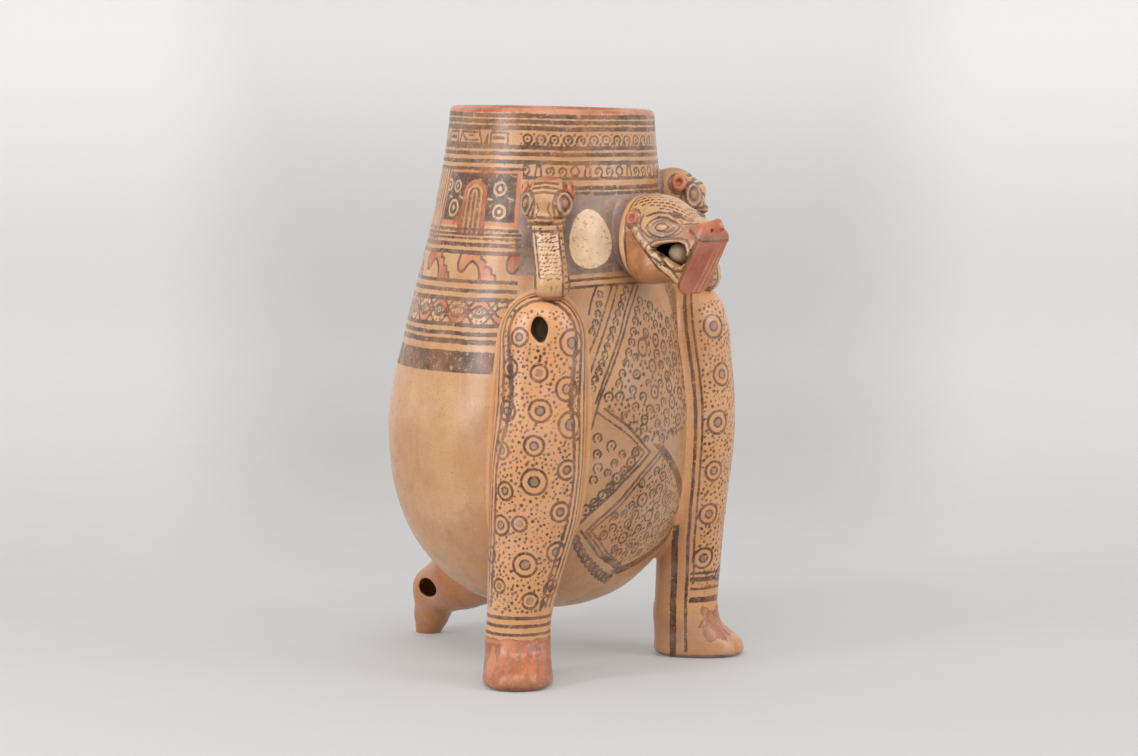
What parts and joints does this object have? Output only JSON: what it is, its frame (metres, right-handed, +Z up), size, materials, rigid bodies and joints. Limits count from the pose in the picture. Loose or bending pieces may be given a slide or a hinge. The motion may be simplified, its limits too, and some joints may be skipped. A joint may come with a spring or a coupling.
{
  "type": "feline effigy tripod vessel",
  "caption": "Pear-shaped ceramic jar on two hollow front legs and a short rear leg, with a feline head jutting from the neck and small crested heads over free-standing arms.",
  "frame": {"origin": "centre of the object's bounding box at floor level, between the three soles", "axes": "+Z up through the jar's mouth, -Y the way the feline head looks, -X the feline's right side"},
  "size_m": [0.191, 0.258, 0.3198],
  "materials": {
    "painted_clay": "burnished orange-tan slip with dark brown, brick red and cream line painting",
    "cream_slip": "burnished cream slip with painted bands",
    "red_slip": "burnished brick-red slip",
    "dark_slip": "dark brown slip lines over tan",
    "plain_clay": "bare fired clay, matt"
  },
  "bodies": {
    "vessel": {"arm_collar_left": "dark_slip", "arm_collar_right": "dark_slip", "arm_left": "painted_clay", "arm_right": "painted_clay", "bowl": "painted_clay", "crest_beak_left": "painted_clay", "crest_beak_right": "painted_clay", "crest_ear_left_inner": "red_slip", "crest_ear_left_outer": "red_slip", "crest_ear_right_inner": "red_slip", "crest_ear_right_outer": "red_slip", "crest_eye_left_inner": "dark_slip", "crest_eye_left_outer": "dark_slip", "crest_eye_right_inner": "dark_slip", "crest_eye_right_outer": "dark_slip", "crest_head_left": "painted_clay", "crest_head_right": "painted_clay", "feline_ear_left": "red_slip", "feline_ear_right": "red_slip", "feline_eye_left": "dark_slip", "feline_eye_right": "dark_slip", "feline_head": "painted_clay", "feline_ruff": "cream_slip", "foot_left": "red_slip", "foot_right": "red_slip", "leg_left": "painted_clay", "leg_right": "painted_clay", "muzzle_plate": "red_slip", "neck": "cream_slip", "nose_pad": "red_slip", "paw_left": "painted_clay", "paw_right": "painted_clay", "rear_leg": "painted_clay", "rim_coil": "red_slip"},
    "head_ball": {"rattle_ball_head": "plain_clay"},
    "right_leg_ball": {"rattle_ball_leg_right": "plain_clay"},
    "left_leg_ball": {"rattle_ball_leg_left": "plain_clay"},
    "rear_leg_ball": {"rattle_ball_rear_leg": "red_slip"}
  },
  "joints": [
    {"name": "head_ball_roll", "type": "slide", "parent": "vessel", "child": "head_ball", "axis": [0, 0.9986, 0.0523], "range_m": [0, 0.028]},
    {"name": "right_leg_ball_roll", "type": "slide", "parent": "vessel", "child": "right_leg_ball", "axis": [-0.0279, -0.1725, 0.9846], "range_m": [0, 0.1]},
    {"name": "left_leg_ball_roll", "type": "slide", "parent": "vessel", "child": "left_leg_ball", "axis": [0.0279, -0.1725, 0.9846], "range_m": [0, 0.1]},
    {"name": "rear_leg_ball_roll", "type": "slide", "parent": "vessel", "child": "rear_leg_ball", "axis": [0, -0.8425, 0.5386], "range_m": [0, 0.033]}
  ]
}
